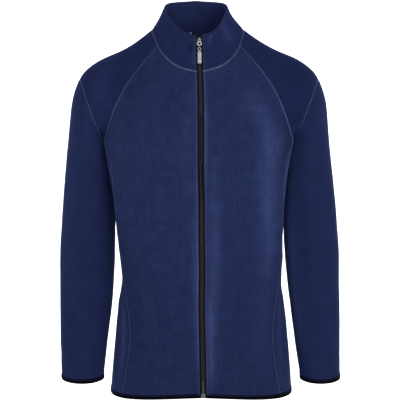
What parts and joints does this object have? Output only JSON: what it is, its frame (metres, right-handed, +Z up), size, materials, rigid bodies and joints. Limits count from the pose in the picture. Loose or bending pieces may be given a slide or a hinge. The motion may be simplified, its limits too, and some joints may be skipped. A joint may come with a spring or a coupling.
{
  "type": "microfleece jacket",
  "caption": "Long-sleeved fleece jacket in worn shape, open inside, with a stand collar, a full-length closed zip, raglan shoulder pieces, side panels and bound hem and cuffs.",
  "frame": {"origin": "in the middle of the neck opening, level with the tops of the shoulders, where the wearer carries the jacket", "axes": "+X to the wearer's left, -Y out of the zipped front, +Z up"},
  "size_m": [0.5609, 0.2436, 0.787],
  "materials": {
    "navy_microfleece": "soft brushed nap",
    "binding": "matt stretch binding",
    "zip": "woven tape and plastic teeth",
    "silver_metal": "satin silver plating",
    "grey_end_box": "satin"
  },
  "bodies": {
    "garment": {"back": "navy_microfleece", "collar": "navy_microfleece", "front_left": "navy_microfleece", "front_right": "navy_microfleece", "shoulder_left": "navy_microfleece", "shoulder_right": "navy_microfleece", "side_panel_left": "navy_microfleece", "side_panel_right": "navy_microfleece", "sleeve_left": "navy_microfleece", "sleeve_right": "navy_microfleece", "cuff_binding_left": "binding", "cuff_binding_right": "binding", "hem_binding": "binding", "zip_chain": "zip", "zip_tape_left": "zip", "zip_tape_right": "zip", "zip_slider": "silver_metal", "zip_end_box": "grey_end_box"},
    "pull_link": {"zip_pull_link": "silver_metal"},
    "pull_tab": {"zip_pull_tab": "silver_metal"}
  },
  "joints": [
    {"name": "link_hinge", "type": "hinge", "parent": "garment", "child": "pull_link", "pos_m": [-0.00036, -0.07652, -0.0018], "axis": [-0.9999, -0.0042, -0.01], "range_deg": [0, 170]},
    {"name": "tab_hinge", "type": "hinge", "parent": "pull_link", "child": "pull_tab", "pos_m": [-0.00022, -0.0804, -0.01358], "axis": [-0.9999, -0.0042, -0.01], "range_deg": [0, 90]}
  ]
}
